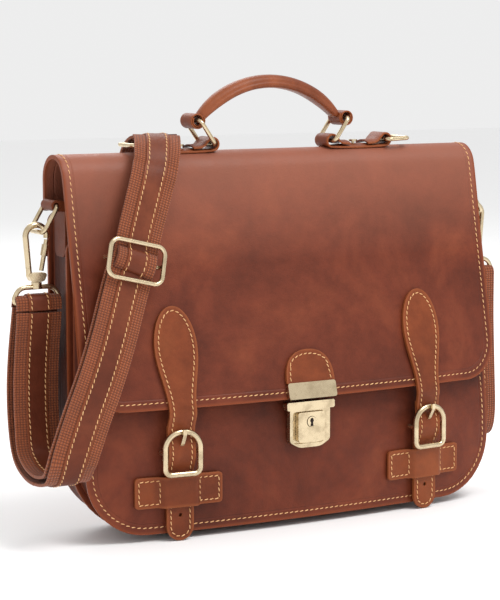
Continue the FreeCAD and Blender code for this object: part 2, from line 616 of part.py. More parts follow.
adjuster = new_body("strap_slider")
w, h = size("slider_width") / 2, size("slider_height") / 2
path = rounded([(-w, -h, 7), (w, -h, 7), (w, h, 7), (-w, h, 7)])
pipe(adjuster, sketch(adjuster, "YZ_Plane", circle(-h, 0, 1.9)), sketch(adjuster, "XY_Plane", path))
bar = sketch(adjuster, "YZ_Plane", circle(0, -8, 1.5))
pad(adjuster, bar, 2 * w + 3, both=True)
posts = circle(-w, 0, 1.7) + circle(w, 0, 1.7)
pad(adjuster, sketch(adjuster, "XY_Plane", posts, offset=-9.3), 9.3)
run_along = front_run[1][0] - front_run[3][0]
run_along.normalize()
run_across = TILT - run_along * TILT.dot(run_along)
run_across.normalize()
out = run_across.cross(run_along)
askew = math.radians(7)
run_across, run_along = (run_across * math.cos(askew) + run_along * math.sin(askew),
                         run_along * math.cos(askew) - run_across * math.sin(askew))
seat = front_run[2][0] + out * (4.9 if out.y < 0 else -4.9)
place(adjuster, seat, Rotation(run_across, run_along, out, "XYZ"))

# ---------------------------------------------------------------- checks and files

doc.recompute()
os.makedirs("parts", exist_ok=True)
for old in os.listdir("parts"):
    os.remove(os.path.join("parts", old))
problems = []
for item in doc.Objects:
    if "Invalid" in item.State or "Error" in item.State:
        problems.append(item.Label + " " + str(item.State))
for item in parts:
    shape = item.Shape
    if shape.isNull() or not shape.isValid() or len(shape.Solids) != 1:
        problems.append("%s null=%s solids=%d" % (item.Label, shape.isNull(), len(shape.Solids)))
        continue
    shape.exportStep("parts/%s.step" % item.Label)
print("parts:", len(parts))
print("problems:", problems)
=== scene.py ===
import math

import bpy
import numpy as np
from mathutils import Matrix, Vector, noise


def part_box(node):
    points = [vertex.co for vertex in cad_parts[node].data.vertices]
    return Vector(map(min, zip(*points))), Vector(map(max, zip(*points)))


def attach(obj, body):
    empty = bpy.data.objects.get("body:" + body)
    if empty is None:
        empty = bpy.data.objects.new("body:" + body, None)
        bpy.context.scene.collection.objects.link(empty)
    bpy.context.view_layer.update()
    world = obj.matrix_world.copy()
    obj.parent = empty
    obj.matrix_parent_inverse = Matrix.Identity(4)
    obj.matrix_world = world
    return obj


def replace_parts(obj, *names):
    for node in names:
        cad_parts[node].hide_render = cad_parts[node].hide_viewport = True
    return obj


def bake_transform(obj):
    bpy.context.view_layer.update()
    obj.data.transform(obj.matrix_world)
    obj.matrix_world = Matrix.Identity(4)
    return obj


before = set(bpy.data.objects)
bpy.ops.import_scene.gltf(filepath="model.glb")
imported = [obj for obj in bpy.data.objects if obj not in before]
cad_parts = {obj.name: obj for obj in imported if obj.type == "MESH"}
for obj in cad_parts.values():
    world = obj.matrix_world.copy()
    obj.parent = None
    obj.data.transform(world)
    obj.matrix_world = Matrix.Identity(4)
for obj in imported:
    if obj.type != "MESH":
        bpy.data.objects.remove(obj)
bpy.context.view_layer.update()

# The looks of a satchel bag. Sizes are in millimetres, in the frame of the CAD: X right, -Y front, +Z up.
MM = 0.001
SIDES = ((-1, "left"), (1, "right"))

PANEL_HALF, FLAP_HALF, GUSSET_HALF = 192.0, 195.0, 186.0
FLAP_CORNER, FRONT_CORNER, BACK_CORNER, DIVIDER_CORNER, GUSSET_CORNER = 33.0, 50.0, 87.0, 69.0, 62.0
BACK_Y, BACK_TOP, DIVIDER_TOP = 36.0, 260.0, 240.0
SEWN_IN, PANEL_THICK = 5.5, 2.9
BULGE = 15.0
FRONT_Y, FRONT_BEND, FRONT_TOP_Y, FRONT_TOP, FRONT_FOOT = -32.0, 76.0, -4.0, 255.0, 5.5
FOLD_Y, FOLD_Z, FOLD_R = 16.0, 285.5, 20.0
FLAP_FOOT, FLAP_FOOT_Y = 106.5, -39.5
LEAN = math.atan2(FOLD_Y - FOLD_R - FLAP_FOOT_Y, FOLD_Z - FLAP_FOOT)
HINGE_Y, HINGE_Z = FOLD_Y - FOLD_R * math.cos(LEAN), FOLD_Z + FOLD_R * math.sin(LEAN)
CLOSURE_X, BUCKLE_Z = 116.5, 71.5


# -------- surfaces of the bag

def bulge_share(x, half):
    return 1 - (x / half) ** 2


def front_y(x, z):
    """Outer face of the front panel, with its bend softened."""
    low = FRONT_Y - BULGE * bulge_share(x, PANEL_HALF)
    high = FRONT_TOP_Y - 4 * bulge_share(x, PANEL_HALF)
    slope = (high - low) / (FRONT_TOP + 6 - FRONT_BEND)
    soft = 14.0
    d = z - FRONT_BEND
    rise = 0.0 if d < -soft else (d if d > soft else (d + soft) ** 2 / (4 * soft))
    return low + slope * rise


def flap_y(x, z):
    """Outer face of the flap below the hinge line."""
    share = (HINGE_Z - z) / (HINGE_Z - FLAP_FOOT)
    return HINGE_Y + (FLAP_FOOT_Y - HINGE_Y) * share - BULGE * bulge_share(x, FLAP_HALF) * share


def ripple(p, size=0.35, scale=0.016):
    """Small unevenness of hand-cut leather at a point."""
    q = Vector(p) * scale
    return size * (noise.noise(q) + 0.45 * noise.noise(q * 2.7 + Vector((7, 3, 1))))


def eased(low, high, value):
    """0 below low, 1 above high, and a smooth step between."""
    t = min(max((value - low) / (high - low), 0), 1)
    return t * t * (3 - 2 * t)


# -------- mesh building

def link(name, mesh):
    obj = bpy.data.objects.new(name, mesh)
    bpy.context.scene.collection.objects.link(obj)
    return obj


def bake_modifiers(obj):
    """Replace the mesh by what its modifiers make of it."""
    bpy.context.view_layer.update()
    made = bpy.data.meshes.new_from_object(obj.evaluated_get(bpy.context.evaluated_depsgraph_get()))
    obj.modifiers.clear()
    obj.data = made
    for polygon in obj.data.polygons:
        polygon.use_smooth = True
    return obj


def sheet_piece(name, points, thickness, material, edge=None, extra=None, bevel=0.9):
    """Leather or webbing from a grid of outer-face points (rows, columns, 3), thickened inward."""
    rows, columns = points.shape[:2]
    verts = (points.reshape(-1, 3) * MM).tolist()
    faces = [(r * columns + c, r * columns + c + 1, (r + 1) * columns + c + 1, (r + 1) * columns + c)
             for r in range(rows - 1) for c in range(columns - 1)]
    mesh = bpy.data.meshes.new(name)
    mesh.from_pydata(verts, [], faces)
    values = {"edge_mm": edge}
    values.update(extra or {})
    for key, grid in values.items():
        if grid is not None:
            attribute = mesh.attributes.new(key, "FLOAT", "POINT")
            attribute.data.foreach_set("value", np.asarray(grid, np.float32).ravel())
    mesh.update()
    obj = link(name, mesh)
    thick = obj.modifiers.new("thick", "SOLIDIFY")
    thick.thickness = thickness * MM
    thick.offset = -1
    round_edges = obj.modifiers.new("round", "BEVEL")
    round_edges.width = bevel * MM
    round_edges.segments = 3
    round_edges.limit_method = "ANGLE"
    round_edges.angle_limit = math.radians(50)
    bake_modifiers(obj)
    obj.data.materials.clear()
    obj.data.materials.append(material)
    return obj


def spaced(low, high, step, dense=(2.0, 4.5, 8.0, 12.0)):
    """Values from low to high, closer together at both ends."""
    values = [low, high] + [low + d for d in dense] + [high - d for d in dense]
    start, stop = low + dense[-1], high - dense[-1]
    count = max(int(round((stop - start) / step)), 1)
    values += [start + (stop - start) * i / count for i in range(1, count)]
    return np.array(sorted(values))


def lengths_along(path):
    """Distance travelled along a polyline at each of its points."""
    return np.concatenate([[0], np.cumsum(np.linalg.norm(np.diff(path, axis=0), axis=1))])


def resample(path, step):
    """Points of a polyline at even spacing, their directions, and their share of its length."""
    path = np.asarray(path, float)
    lengths = lengths_along(path)
    count = max(int(lengths[-1] / step), 1)
    at = (np.arange(count) + 0.5) * lengths[-1] / count
    points = np.stack([np.interp(at, lengths, path[:, i]) for i in range(3)], 1)
    ahead = np.stack([np.interp(at + 0.4, lengths, path[:, i]) for i in range(3)], 1)
    behind = np.stack([np.interp(at - 0.4, lengths, path[:, i]) for i in range(3)], 1)
    directions = ahead - behind
    directions /= np.linalg.norm(directions, axis=1)[:, None]
    return points, directions, at / lengths[-1]


def capsule(length, radius):
    """Vertices and faces of a small thread stitch lying along X."""
    profile = ((-0.5, 0.25), (-0.4, 0.8), (-0.15, 1.0), (0.15, 1.0), (0.4, 0.8), (0.5, 0.25))
    rings, around, last = [], 6, len(profile) - 1
    for x, share in profile:
        for k in range(around):
            a = 2 * math.pi * k / around
            sag = -0.35 * radius * (abs(x) * 2) ** 2
            rings.append((x * length, radius * share * math.cos(a), radius * share * math.sin(a) + sag))
    faces = []
    for r in range(last):
        for k in range(around):
            faces.append((r * around + k, r * around + (k + 1) % around,
                          (r + 1) * around + (k + 1) % around, (r + 1) * around + k))
    faces.append(tuple(range(around))[::-1])
    faces.append(tuple(last * around + k for k in range(around)))
    return np.array(rings), faces


STITCH, STITCH_FACES = capsule(3.4, 0.44)


def stitches(name, lines, pitch=4.8):
    """One mesh of slanted thread stitches along surface lines, each (points, normals)."""
    verts, faces = [], []
    for path, normals in lines:
        normals = np.asarray(normals, float)
        points, along, share = resample(path, pitch)
        lengths = lengths_along(np.asarray(path, float))
        keys = lengths / lengths[-1]
        up = np.stack([np.interp(share, keys, normals[:, i]) for i in range(3)], 1)
        up -= along * (up * along).sum(1)[:, None]
        up /= np.linalg.norm(up, axis=1)[:, None]
        across = np.cross(up, along)
        turn = math.radians(12)
        first = along * math.cos(turn) + across * math.sin(turn)
        second = np.cross(up, first)
        for p, a, b, n in zip(points, first, second, up):
            base = len(verts)
            block = p + n * 0.12 + STITCH[:, :1] * a + STITCH[:, 1:2] * b + STITCH[:, 2:] * n
            verts.extend((block * MM).tolist())
            faces.extend(tuple(base + i for i in face) for face in STITCH_FACES)
    mesh = bpy.data.meshes.new(name)
    mesh.from_pydata(verts, [], faces)
    mesh.materials.append(THREAD)
    for polygon in mesh.polygons:
        polygon.use_smooth = True
    return link(name, mesh)


def on_surface(path, height):
    """3D line and normals on y = height(x, z), for (x, z) points; the outside is toward -Y."""
    points, normals = [], []
    for x, z in path:
        dx = height(x + 0.5, z) - height(x - 0.5, z)
        dz = height(x, z + 0.5) - height(x, z - 0.5)
        normal = np.array([dx, -1.0, dz])
        normal /= np.linalg.norm(normal)
        points.append((x, height(x, z), z))
        normals.append(normal)
    return np.array(points), np.array(normals)


def u_path(half, foot, top, corner, inset, step=2.0):
    """(x, z) points of a U: down the left side, round both bottom corners, up the right side."""
    w, low, r = half - inset, foot + inset, corner - inset
    left = [(-w, z) for z in np.arange(top, low + r, -step)]
    turn = [(-w + r - r * math.cos(a), low + r - r * math.sin(a)) for a in np.linspace(0, math.pi / 2, 16)]
    bottom = [(x, low) for x in np.arange(-w + r + step, w - r, step)]
    return left + turn + bottom + [(-x, z) for x, z in turn[::-1]] + [(-x, z) for x, z in left[::-1]]


def half_at(z, half, foot, corner, top=None, top_corner=0.0):
    """Half width of a rounded outline at height z."""
    if z < foot + corner:
        return half - corner + math.sqrt(max(corner ** 2 - (foot + corner - z) ** 2, 0))
    if top is not None and z > top - top_corner:
        return half - top_corner + math.sqrt(max(top_corner ** 2 - (z - top + top_corner) ** 2, 0))
    return half


def edge_distance(x, z, half, foot, corner, top):
    """Distance in from a rounded outline's edge."""
    x = abs(x)
    if x > half - corner and z < foot + corner:
        return corner - math.hypot(x - half + corner, foot + corner - z)
    return min(half - x, z - foot, top - z)


def corner_rows(foot, corner, top, step=6.0, top_corner=0.0):
    """Heights that follow the corner arcs, then even steps."""
    rows = [foot + corner * (1 - math.cos(a)) for a in np.linspace(0, math.pi / 2, 14)]
    end = top - top_corner
    count = int((end - rows[-1]) / step)
    rows += [rows[-1] + (end - rows[-1]) * i / count for i in range(1, count + 1)]
    if top_corner:
        rows += [end + top_corner * math.sin(a) for a in np.linspace(0, math.pi / 2, 6)[1:]]
    return np.array(rows)


def panel(name, height, half, foot, corner, top, outward=-1, top_corner=10.0, wave=0.35):
    """A sewn panel in the XZ plane whose outer face is y = height(x, z), looking toward outward along Y."""
    shares = spaced(-half, half, 8.0) / half
    points, edges = [], []
    for z in corner_rows(foot, corner, top, top_corner=top_corner):
        w = half_at(z, half, foot, corner, top, top_corner)
        xs = shares * w
        points.append([(x, height(x, z) + ripple((x, height(x, z), z), wave), z) for x in xs])
        edges.append([max(edge_distance(x, z, half, foot, corner, top), 0) for x in xs])
    points, edges = np.array(points), np.array(edges)
    if outward > 0:
        # the faces look outward, so that the thickness goes inside
        points, edges = points[:, ::-1], edges[:, ::-1]
    return sheet_piece(name, points, PANEL_THICK, SHELL, edge=edges)


# -------- materials

def new_material(name):
    material = bpy.data.materials.new(name)
    material.use_nodes = True
    nodes, links = material.node_tree.nodes, material.node_tree.links
    return material, nodes, links, nodes["Principled BSDF"]


def add(nodes, kind, inputs=None, **settings):
    node = nodes.new(kind)
    for key, value in settings.items():
        setattr(node, key, value)
    for key, value in (inputs or {}).items():
        node.inputs[key].default_value = value
    return node


def ramp(nodes, stops):
    node = nodes.new("ShaderNodeValToRGB")
    elements = node.color_ramp.elements
    while len(elements) < len(stops):
        elements.new(0.5)
    for element, (position, colour) in zip(elements, stops):
        element.position = position
        element.color = (*colour, 1)
    return node


def ranged(nodes, links, source, low, high, to_low, to_high):
    node = add(nodes, "ShaderNodeMapRange",
               {"From Min": low, "From Max": high, "To Min": to_low, "To Max": to_high})
    links.new(source, node.inputs["Value"])
    return node.outputs["Result"]


def mottle(nodes, links, where, scale, detail, rough=0.5, distortion=0.0):
    """Noise texture read at a place."""
    node = add(nodes, "ShaderNodeTexNoise",
               {"Scale": scale, "Detail": detail, "Roughness": rough, "Distortion": distortion})
    links.new(where, node.inputs["Vector"])
    return node


def leather(name, dark, mid, light, rim, edged=True, crease=8.5, roughness=(0.40, 0.56), painted_top_sheen=None):
    """Oiled full-grain leather: cloudy colour, fine pores, soft creases, worn lighter rims."""
    material, nodes, links, shader = new_material(name)
    where = nodes.new("ShaderNodeTexCoord").outputs["Object"]
    cloud = mottle(nodes, links, where, 13.0, 5.0, 0.58, 0.5)
    fine = mottle(nodes, links, where, 90.0, 6.0, 0.65)
    pull = mottle(nodes, links, where, 320.0, 4.0, 0.7)
    grain = add(nodes, "ShaderNodeTexVoronoi", {"Scale": 950.0})
    links.new(where, grain.inputs["Vector"])
    tone = ramp(nodes, [(0.30, dark), (0.52, mid), (0.74, light)])
    links.new(cloud.outputs["Fac"], tone.inputs["Fac"])
    speck = ramp(nodes, [(0.32, (0.72, 0.72, 0.72)), (0.62, (1.12, 1.1, 1.08))])
    links.new(fine.outputs["Fac"], speck.inputs["Fac"])
    mixed = add(nodes, "ShaderNodeMix", {"Factor": 0.55}, data_type="RGBA", blend_type="MULTIPLY")
    links.new(tone.outputs["Color"], mixed.inputs["A"])
    links.new(speck.outputs["Color"], mixed.inputs["B"])
    colour = mixed.outputs["Result"]
    if painted_top_sheen:
        # painted highlight: paler toward the fold, standing in for the light the flap's top catches
        split = nodes.new("ShaderNodeSeparateXYZ")
        links.new(where, split.inputs[0])
        high = ranged(nodes, links, split.outputs["Z"], 0.215, 0.315, 0.0, 0.68)
        paler = add(nodes, "ShaderNodeMix", data_type="RGBA")
        paler.inputs["B"].default_value = (*painted_top_sheen, 1)
        links.new(high, paler.inputs["Factor"])
        links.new(colour, paler.inputs["A"])
        colour = paler.outputs["Result"]
    bump = add(nodes, "ShaderNodeBump", {"Strength": 0.22, "Distance": 0.0004})
    links.new(grain.outputs["Distance"], bump.inputs["Height"])
    soft = add(nodes, "ShaderNodeBump", {"Strength": 0.25, "Distance": 0.0008})
    links.new(pull.outputs["Fac"], soft.inputs["Height"])
    links.new(bump.outputs["Normal"], soft.inputs["Normal"])
    normal = soft.outputs["Normal"]
    if edged:
        edge = add(nodes, "ShaderNodeAttribute", attribute_name="edge_mm").outputs["Fac"]
        worn = ranged(nodes, links, edge, 0.3, 2.8, 1.0, 0.0)
        rimmed = add(nodes, "ShaderNodeMix", data_type="RGBA")
        rimmed.inputs["B"].default_value = (*rim, 1)
        links.new(worn, rimmed.inputs["Factor"])
        links.new(colour, rimmed.inputs["A"])
        colour = rimmed.outputs["Result"]
        if crease:
            offset = add(nodes, "ShaderNodeMath", {1: crease}, operation="SUBTRACT")
            links.new(edge, offset.inputs[0])
            size = add(nodes, "ShaderNodeMath", operation="ABSOLUTE")
            links.new(offset.outputs[0], size.inputs[0])
            groove = ranged(nodes, links, size.outputs[0], 0.0, 0.9, 0.0, 1.0)
            line = add(nodes, "ShaderNodeBump", {"Strength": 0.6, "Distance": 0.0006})
            links.new(groove, line.inputs["Height"])
            links.new(normal, line.inputs["Normal"])
            normal = line.outputs["Normal"]
    links.new(colour, shader.inputs["Base Color"])
    links.new(normal, shader.inputs["Normal"])
    links.new(ranged(nodes, links, fine.outputs["Fac"], 0.3, 0.7, *roughness), shader.inputs["Roughness"])
    shader.inputs["Specular IOR Level"].default_value = 0.2
    shader.inputs["Coat Weight"].default_value = 0.04
    shader.inputs["Coat Roughness"].default_value = 0.35
    return material


def webbing(name):
    """Cotton webbing: ribs across, yarns along, from the band's own length and width."""
    material, nodes, links, shader = new_material(name)
    along = add(nodes, "ShaderNodeAttribute", attribute_name="along_mm").outputs["Fac"]
    across = add(nodes, "ShaderNodeAttribute", attribute_name="across_mm").outputs["Fac"]

    def wave(source, period):
        scaled = add(nodes, "ShaderNodeMath", {1: math.pi / period}, operation="MULTIPLY")
        links.new(source, scaled.inputs[0])
        sine = add(nodes, "ShaderNodeMath", operation="SINE")
        links.new(scaled.outputs[0], sine.inputs[0])
        hump = add(nodes, "ShaderNodeMath", operation="ABSOLUTE")
        links.new(sine.outputs[0], hump.inputs[0])
        return hump.outputs[0]

    weave = add(nodes, "ShaderNodeMath", operation="MULTIPLY")
    links.new(wave(along, 2.0), weave.inputs[0])
    links.new(wave(across, 2.45), weave.inputs[1])
    height = ranged(nodes, links, weave.outputs[0], 0, 1, 0, 1)
    # painted shade: the weave's hollows are coloured darker than its raised yarns
    tone = ramp(nodes, [(0.0, (0.120, 0.025, 0.006)), (0.35, (0.250, 0.057, 0.014)),
                        (1.0, (0.35, 0.088, 0.022))])
    links.new(height, tone.inputs["Fac"])
    where = nodes.new("ShaderNodeTexCoord").outputs["Object"]
    fuzz = mottle(nodes, links, where, 60.0, 6.0, 0.7)
    shade = ramp(nodes, [(0.3, (0.7, 0.7, 0.7)), (0.7, (1.1, 1.1, 1.1))])
    links.new(fuzz.outputs["Fac"], shade.inputs["Fac"])
    mixed = add(nodes, "ShaderNodeMix", {"Factor": 0.7}, data_type="RGBA", blend_type="MULTIPLY")
    links.new(tone.outputs["Color"], mixed.inputs["A"])
    links.new(shade.outputs["Color"], mixed.inputs["B"])
    links.new(mixed.outputs["Result"], shader.inputs["Base Color"])
    bump = add(nodes, "ShaderNodeBump", {"Strength": 0.9, "Distance": 0.0007})
    links.new(height, bump.inputs["Height"])
    links.new(bump.outputs["Normal"], shader.inputs["Normal"])
    shader.inputs["Roughness"].default_value = 0.86
    shader.inputs["Sheen Weight"].default_value = 0.15
    return material


def metal(name, bright, dull, roughness):
    """Antiqued brass: bright where it is worn smooth, brown in the cloudy patches."""
    material, nodes, links, shader = new_material(name)
    where = nodes.new("ShaderNodeTexCoord").outputs["Object"]
    patch = mottle(nodes, links, where, 95.0, 5.0, 0.6)
    scratch = mottle(nodes, links, where, 900.0, 3.0, 0.7)
    tone = ramp(nodes, [(0.34, dull), (0.56, bright)])
    links.new(patch.outputs["Fac"], tone.inputs["Fac"])
    links.new(tone.outputs["Color"], shader.inputs["Base Color"])
    links.new(ranged(nodes, links, patch.outputs["Fac"], 0.35, 0.65, roughness[1], roughness[0]),
              shader.inputs["Roughness"])
    bump = add(nodes, "ShaderNodeBump", {"Strength": 0.06, "Distance": 0.0003})
    links.new(scratch.outputs["Fac"], bump.inputs["Height"])
    links.new(bump.outputs["Normal"], shader.inputs["Normal"])
    shader.inputs["Metallic"].default_value = 1.0
    return material


def thread(name):
    material, nodes, links, shader = new_material(name)
    where = nodes.new("ShaderNodeTexCoord").outputs["Object"]
    twist = mottle(nodes, links, where, 700.0, 2.0)
    tone = ramp(nodes, [(0.3, (0.58, 0.28, 0.10)), (0.7, (0.85, 0.52, 0.25))])
    links.new(twist.outputs["Fac"], tone.inputs["Fac"])
    links.new(tone.outputs["Color"], shader.inputs["Base Color"])
    shader.inputs["Roughness"].default_value = 0.7
    return material


# the shell's last colour is a painted highlight, mixed in toward the fold
SHELL = leather("shell_leather", (0.078, 0.015, 0.006), (0.138, 0.027, 0.011), (0.205, 0.046, 0.018),
                (0.215, 0.048, 0.015), painted_top_sheen=(0.36, 0.135, 0.085))
STRAP = leather("strap_leather", (0.120, 0.024, 0.007), (0.190, 0.042, 0.012), (0.255, 0.066, 0.020),
                (0.25, 0.065, 0.019), crease=0)
PLAIN = leather("plain_leather", (0.110, 0.023, 0.008), (0.170, 0.039, 0.013), (0.230, 0.062, 0.022),
                (0.3, 0.1, 0.04), edged=False)
GUSSET = leather("gusset_leather", (0.045, 0.009, 0.004), (0.080, 0.016, 0.007), (0.120, 0.027, 0.011),
                 (0.17, 0.038, 0.013))
STRIPE = leather("stripe_leather", (0.080, 0.016, 0.006), (0.130, 0.028, 0.011), (0.185, 0.046, 0.018),
                 (0.2, 0.05, 0.018), crease=0)
WEB = webbing("webbing")
BRASS = metal("aged_brass", (0.68, 0.55, 0.36), (0.50, 0.395, 0.25), (0.20, 0.31))
THREAD = thread("thread")
GRIP = leather("grip_leather", (0.155, 0.036, 0.012), (0.230, 0.060, 0.021), (0.300, 0.090, 0.035),
               (0.3, 0.1, 0.04), edged=False, roughness=(0.34, 0.48))
# painted shade: near-black leather for the keyhole's dark inside
KEYHOLE_SHADE = leather("hole_shadow", (0.010, 0.004, 0.002), (0.014, 0.006, 0.003), (0.018, 0.008, 0.004),
               (0.01, 0.005, 0.003), edged=False)


# -------- flap

FAR_IN, FAR_TOP = 99, 999      # no upper edge near: the skin goes on over the fold


def flap_skin():
    """One skin from the seam on the back, over the fold and down to the flap's front edge."""
    shares = spaced(-FLAP_HALF, FLAP_HALF, 8.0) / FLAP_HALF
    rows, edges = [], []
    seam = 260.4

    def add_row(xs, ys, zs, distance):
        rows.append([(x, y, z) for x, y, z in zip(xs, ys, zs)])
        edges.append([max(min(FLAP_HALF - abs(x), d), 0) for x, d in zip(xs, distance)])

    xs = shares * FLAP_HALF
    for z in (seam, seam + 2, seam + 5, seam + 9, seam + 14, seam + 20):
        add_row(xs, [FOLD_Y + FOLD_R] * len(xs), [z] * len(xs), [z - seam] * len(xs))
    for a in np.linspace(0, math.pi - LEAN, 22):
        y, z = FOLD_Y + FOLD_R * math.cos(a), FOLD_Z + FOLD_R * math.sin(a)
        add_row(xs, [y] * len(xs), [z] * len(xs), [FAR_IN] * len(xs))
    for z in corner_rows(FLAP_FOOT, FLAP_CORNER, HINGE_Z - 5)[::-1]:
        w = half_at(z, FLAP_HALF, FLAP_FOOT, FLAP_CORNER)
        row = shares * w
        distance = [edge_distance(x, z, FLAP_HALF, FLAP_FOOT, FLAP_CORNER, FAR_TOP) for x in row]
        add_row(row, [flap_y(x, z) + ripple((x, 0, z), 0.5, 0.012) for x in row], [z] * len(row), distance)
        edges[-1] = [max(d, 0) for d in distance]
    points, edges = np.array(rows), np.array(edges)
    return sheet_piece("flap", points[::-1], 3.4, SHELL, edge=edges[::-1])


def flap_stitch_line():
    """Stitching along the flap's edge, from the back seam over the top and round the front."""
    w = FLAP_HALF - SEWN_IN
    left, normals = [], []
    for z in np.arange(266, FOLD_Z, 3.0):
        left.append((-w, FOLD_Y + FOLD_R, z))
        normals.append((0, 1, 0))
    for a in np.linspace(0, math.pi - LEAN, 24):
        left.append((-w, FOLD_Y + FOLD_R * math.cos(a), FOLD_Z + FOLD_R * math.sin(a)))
        normals.append((0, math.cos(a), math.sin(a)))
    front = u_path(FLAP_HALF, FLAP_FOOT, HINGE_Z - 2, FLAP_CORNER, SEWN_IN)
    points, front_normals = on_surface(front, flap_y)
    right = [(-x, y, z) for x, y, z in left[::-1]]
    path = np.concatenate([np.array(left), points, np.array(right)])
    return path, np.concatenate([np.array(normals), front_normals, np.array(normals[::-1])])


def crosses_hinge(obj):
    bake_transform(obj)


flap = flap_skin()
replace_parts(flap, "flap_front", "flap_fold")
crosses_hinge(flap)
crosses_hinge(stitches("flap_stitches", [flap_stitch_line()]))


# -------- shell panels and gussets

front_panel = panel("front_panel_skin", front_y, PANEL_HALF, FRONT_FOOT, FRONT_CORNER, FRONT_TOP)
back_panel = panel("back_panel_skin", lambda x, z: BACK_Y, PANEL_HALF, 0.0, BACK_CORNER, BACK_TOP,
                   outward=1, wave=0.15)
divider = panel("divider_skin", lambda x, z: -PANEL_THICK / 2, PANEL_HALF, 0.0, DIVIDER_CORNER, DIVIDER_TOP,
                wave=0.0)
for skin, node in ((front_panel, "front_panel"), (back_panel, "back_panel"), (divider, "divider_panel")):
    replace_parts(skin, node)
    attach(skin, "shell")

lines = [on_surface(u_path(PANEL_HALF, FRONT_FOOT, FRONT_TOP - 6, FRONT_CORNER, SEWN_IN), front_y)]
path = np.array([(x, BACK_Y, z) for x, z in u_path(PANEL_HALF, 0, BACK_TOP - 4, BACK_CORNER, SEWN_IN)])
lines.append((path, np.tile([0.0, 1.0, 0.0], (len(path), 1))))
seam = np.array([(x, BACK_Y, BACK_TOP - 4.4) for x in np.arange(-GUSSET_HALF, GUSSET_HALF + 1, 3.0)])
lines.append((seam, np.tile([0.0, 1.0, 0.0], (len(seam), 1))))
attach(stitches("panel_stitches", lines), "shell")


GUSSET_BOW, GUSSET_SEAM = 1.6, 4.0


def gusset(name, top, back, front_edge):
    """U-shaped side and bottom strip from y = back to y = front_edge(x, z), bowed in a little."""
    path = u_path(GUSSET_HALF, 8.0, top, GUSSET_CORNER, 0.0, step=6.0)
    flat = np.array(path)
    along = np.gradient(flat, axis=0)
    along /= np.linalg.norm(along, axis=1)[:, None]
    outward = np.stack([along[:, 1], -along[:, 0]], 1)
    outward *= np.where((outward * (flat - np.array([0, 130.0]))).sum(1) < 0, -1, 1)[:, None]
    shares = np.array([0, 0.06, 0.14, 0.25, 0.4, 0.55, 0.7, 0.82, 0.92, 1.0])
    points, edges = [], []
    for (x, z), n in zip(path, outward):
        end = front_edge(x, z)
        row, distances = [], []
        for share in shares:
            y = back + (end - back) * share
            inward = GUSSET_BOW * math.sin(math.pi * share) + ripple((x, y, z), 0.25)
            row.append((x - n[0] * inward, y, z - n[1] * inward))
            distances.append(min(abs(y - back), abs(end - y), top - z))
        points.append(row)
        edges.append(distances)
    points, edges = np.array(points), np.maximum(np.array(edges), 0)
    obj = sheet_piece(name, points, 2.4, GUSSET, edge=edges, bevel=0.6)
    sewn = []
    for at_back in (True, False):
        line = []
        for (x, z), n in zip(path, outward):
            end = front_edge(x, z)
            gap = math.copysign(GUSSET_SEAM, end - back)
            y = back + gap if at_back else end - gap
            inward = GUSSET_BOW * math.sin(math.pi * min(GUSSET_SEAM / max(abs(end - back), 1), 1))
            line.append((x - n[0] * inward, y, z - n[1] * inward))
        sewn.append((np.array(line), np.stack([outward[:, 0], np.zeros(len(path)), outward[:, 1]], 1)))
    seam_z = top - 6
    across = np.linspace(back, front_edge(-GUSSET_HALF, seam_z), 8)[1:-1]
    for way in (-1, 1):
        line = np.array([(way * GUSSET_HALF, y, seam_z) for y in across])
        sewn.append((line, np.tile([float(way), 0, 0], (len(line), 1))))
    threads = stitches(name + "_stitches", sewn)
    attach(obj, "shell")
    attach(threads, "shell")
    return obj


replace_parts(gusset("rear_gusset_skin", 254.0, 32.6, lambda x, z: 1.9), "rear_gusset")
front_gusset = gusset("front_gusset_skin", 233.0, -1.9, lambda x, z: min(front_y(x, z) + 3.4, -3.5))
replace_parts(front_gusset, "front_gusset")


# -------- closure straps

def catmull(points, per=8):
    """Smooth curve through points, any number of values each."""
    points = np.asarray(points, float)
    padded = np.concatenate([[2 * points[0] - points[1]], points, [2 * points[-1] - points[-2]]])
    out = []
    for i in range(len(points) - 1):
        a, b, c, d = padded[i:i + 4]
        for t in np.arange(per) / per:
            out.append(0.5 * (2 * b + (c - a) * t + (2 * a - 5 * b + 4 * c - d) * t * t
                              + (3 * b - a - 3 * c + d) * t ** 3))
    out.append(points[-1])
    return np.array(out)


def place_closure(points, side):
    """Local closure coordinates (y = 0 on the panel) into the row frame."""
    turn = side * math.atan(2 * BULGE * CLOSURE_X / PANEL_HALF ** 2)
    panel_y = FRONT_Y - BULGE * bulge_share(CLOSURE_X, PANEL_HALF)
    points = np.asarray(points, float)
    x = points[..., 0] * math.cos(turn) - points[..., 1] * math.sin(turn)
    y = points[..., 0] * math.sin(turn) + points[..., 1] * math.cos(turn)
    return np.stack([x + side * CLOSURE_X, y + panel_y, points[..., 2]], -1)


def turned(normals, side):
    turn = side * math.atan(2 * BULGE * CLOSURE_X / PANEL_HALF ** 2)
    n = np.asarray(normals, float)
    return np.stack([n[..., 0] * math.cos(turn) - n[..., 1] * math.sin(turn),
                     n[..., 0] * math.sin(turn) + n[..., 1] * math.cos(turn), n[..., 2]], -1)


def punch(obj, centre, direction, radius):
    """Cut a round hole through a piece."""
    bpy.ops.mesh.primitive_cylinder_add(vertices=24, radius=radius * MM, depth=12 * MM)
    tool = bpy.context.object
    tool.rotation_euler = Vector(direction).to_track_quat("Z", "Y").to_euler()
    tool.location = Vector(centre) * MM
    cutter = obj.modifiers.new("hole", "BOOLEAN")
    cutter.operation, cutter.object, cutter.solver = "DIFFERENCE", tool, "EXACT"
    bake_modifiers(obj)
    bpy.data.objects.remove(tool)


